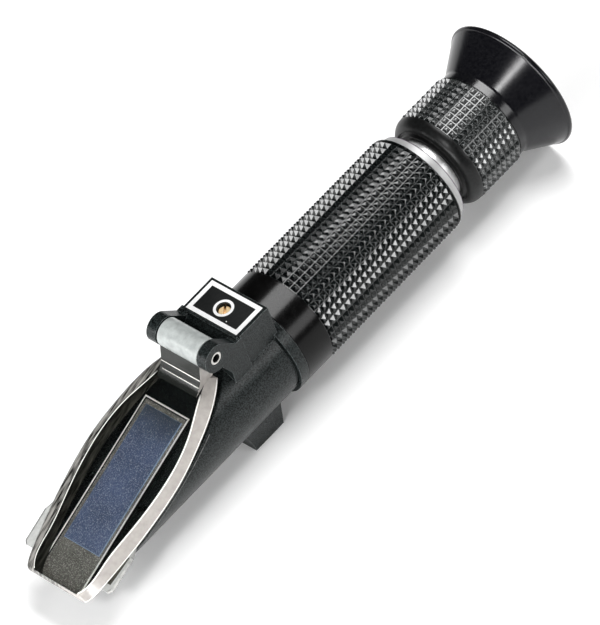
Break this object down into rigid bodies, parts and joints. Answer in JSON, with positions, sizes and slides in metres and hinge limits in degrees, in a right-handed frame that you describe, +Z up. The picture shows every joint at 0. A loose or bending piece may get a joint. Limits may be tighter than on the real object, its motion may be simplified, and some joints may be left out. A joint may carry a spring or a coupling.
{
  "type": "handheld refractometer",
  "caption": "Hand-held refractometer with a clear hinged daylight plate over a prism, a studded grip, a zero screw under a label and a focusing eyepiece with a flared eyecup.",
  "frame": {"origin": "centre of the bounding box on the surface the instrument lies on, under the optical axis", "axes": "+X along the optical axis towards the eye, +Z up on the daylight plate side"},
  "size_m": [0.1638, 0.0362, 0.0417],
  "materials": {
    "housing_black": "satin moulded",
    "label_print": "printed film, white border",
    "screw_brass": "turned",
    "pin_steel": "rolled tube",
    "clear_acrylic": "polished clear plastic",
    "prism_glass": "ground and polished, blue by reflection",
    "sealant": "matt",
    "tube_black": "gloss black",
    "grip_rubber": "moulded pyramids",
    "ring_aluminium": "turned, bright",
    "tube_chrome": "polished",
    "ring_black": "satin gloss",
    "eyecup_rubber": "semi-gloss",
    "inner_brass": "turned",
    "inner_steel": "plain",
    "inner_black": "anodised matt black",
    "optical_glass": "coated"
  },
  "bodies": {
    "instrument": {"prism_housing": "housing_black", "calibration_label": "label_print", "hinge_pin": "pin_steel", "main_prism": "prism_glass", "prism_gasket": "sealant", "body_tube": "tube_black", "tube_seal": "sealant", "grip_sleeve": "grip_rubber", "end_ring": "ring_aluminium", "eyepiece_tube": "tube_chrome", "key_pin": "inner_steel", "focus_seal": "sealant", "reticle_holder": "inner_black", "reticle": "optical_glass", "reticle_ring": "inner_black", "light_baffle": "inner_black", "lever_pivot_pin": "inner_steel", "return_spring": "inner_steel"},
    "plate": {"daylight_plate": "clear_acrylic"},
    "screw": {"calibration_screw": "screw_brass", "screw_clip": "inner_steel"},
    "carrier": {"objective_lever": "inner_brass", "bimetal_strip": "inner_steel", "strip_screws": "inner_steel", "objective_cell": "inner_black", "objective_lens": "optical_glass"},
    "ocular": {"ocular_barrel": "inner_black", "field_lens": "optical_glass", "lens_spacer": "inner_black", "eye_lens": "optical_glass", "lens_retaining_ring": "inner_black", "snap_ring": "inner_steel"},
    "focus": {"focus_ring": "ring_black", "focus_sleeve": "grip_rubber", "eyecup": "eyecup_rubber"}
  },
  "joints": [
    {"name": "plate_hinge", "type": "hinge", "parent": "instrument", "child": "plate", "pos_m": [-0.02632, 0, 0.03807], "axis": [0, 1, 0], "range_deg": [0, 120]},
    {"name": "calibration_turn", "type": "hinge", "parent": "instrument", "child": "screw", "pos_m": [-0.01406, 0, 0.03505], "axis": [0, 0, 1], "range_deg": [-180, 180]},
    {"name": "carrier_tilt", "type": "hinge", "parent": "instrument", "child": "carrier", "pos_m": [-0.02246, 0, 0.02535], "axis": [0, 1, 0], "range_deg": [-1.6, 1.6], "deforming": ["return_spring"]},
    {"name": "focus_travel", "type": "slide", "parent": "instrument", "child": "ocular", "axis": [1, 0, 0], "range_m": [-0.00201, 0.00301]},
    {"name": "focus_turn", "type": "hinge", "parent": "ocular", "child": "focus", "pos_m": [0.06104, 0, 0.01805], "axis": [1, 0, 0], "range_deg": [-120, 180]}
  ],
  "couplings": [
    {"joint": "focus_travel", "follows": "focus_turn", "m_per_rad": 0.00095493},
    {"joint": "carrier_tilt", "follows": "calibration_turn", "ratio": 0.0085262}
  ]
}
